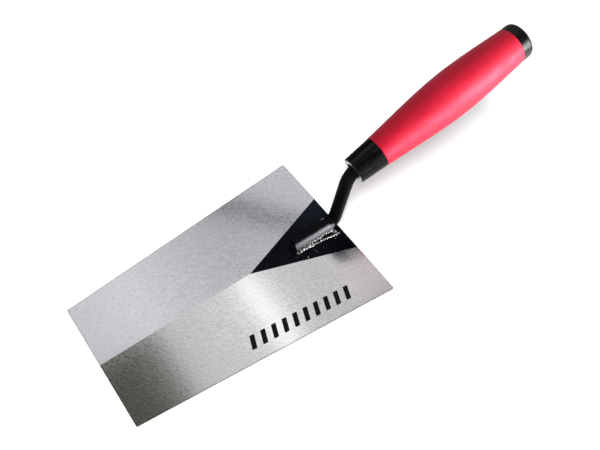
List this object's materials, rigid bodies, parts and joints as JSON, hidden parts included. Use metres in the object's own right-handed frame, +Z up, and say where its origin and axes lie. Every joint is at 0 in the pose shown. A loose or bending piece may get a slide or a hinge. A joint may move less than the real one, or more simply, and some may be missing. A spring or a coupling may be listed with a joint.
{
  "type": "bucket trowel",
  "caption": "Hand trowel with a flat trapezoidal steel blade, a welded gooseneck tang and a round soft-grip handle, for scooping and spreading plaster.",
  "frame": {"origin": "centre of the blade's flat underside, the working face", "axes": "+X along the blade from toe to heel and on towards the handle, +Z up out of the blade on the handle's side, +Y completes the right-handed frame"},
  "size_m": [0.3268, 0.1248, 0.1073],
  "materials": {
    "blade_steel": "taper ground steel, heel triangle left black with lacquer",
    "black_tang": "satin black paint",
    "weld_metal": "rough as-welded steel",
    "black_plastic": "glossy moulded",
    "washer_steel": "bright plated",
    "core_plastic": "hidden moulded core",
    "red_grip": "satin soft grip",
    "print_ink": "matt black printed bars on the blade, drawn by the visual model only"
  },
  "bodies": {
    "root": {"blade": "blade_steel", "tang": "black_tang", "weld_bead_right": "weld_metal", "weld_bead_left": "weld_metal", "collar": "black_plastic", "collar_washer": "washer_steel", "handle_core": "core_plastic", "grip_sleeve": "red_grip", "end_cap": "black_plastic"}
  },
  "joints": []
}
